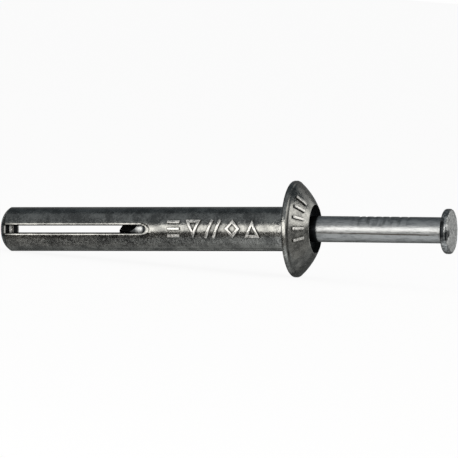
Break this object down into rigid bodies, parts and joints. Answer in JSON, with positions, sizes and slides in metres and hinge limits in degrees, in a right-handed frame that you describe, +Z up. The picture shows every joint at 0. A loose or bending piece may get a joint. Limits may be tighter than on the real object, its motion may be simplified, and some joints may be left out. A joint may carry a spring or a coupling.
{
  "type": "hammer fixing",
  "caption": "Cast expansion sleeve with a domed head and slotted shank, and a steel drive nail standing part-way out of it.",
  "frame": {"origin": "centre of the underside of the sleeve's head, where the fixing seats on what it holds", "axes": "the fixing's axis lies in the XZ plane, 4.97 degrees above +X towards the nail head, as it rests on the rim of its head and the edge of its nose; +Z is up, and the slot passes through along Y"},
  "size_m": [0.0614, 0.0126, 0.0126],
  "materials": {
    "cast_zinc": "as cast, dull dark grey with a fine mottled grain and brighter edges",
    "plated_steel": "bright zinc plating on the shank, rougher and greyer on the head"
  },
  "bodies": {
    "root": {"expansion_sleeve": "cast_zinc", "drive_nail": "plated_steel"}
  },
  "joints": []
}
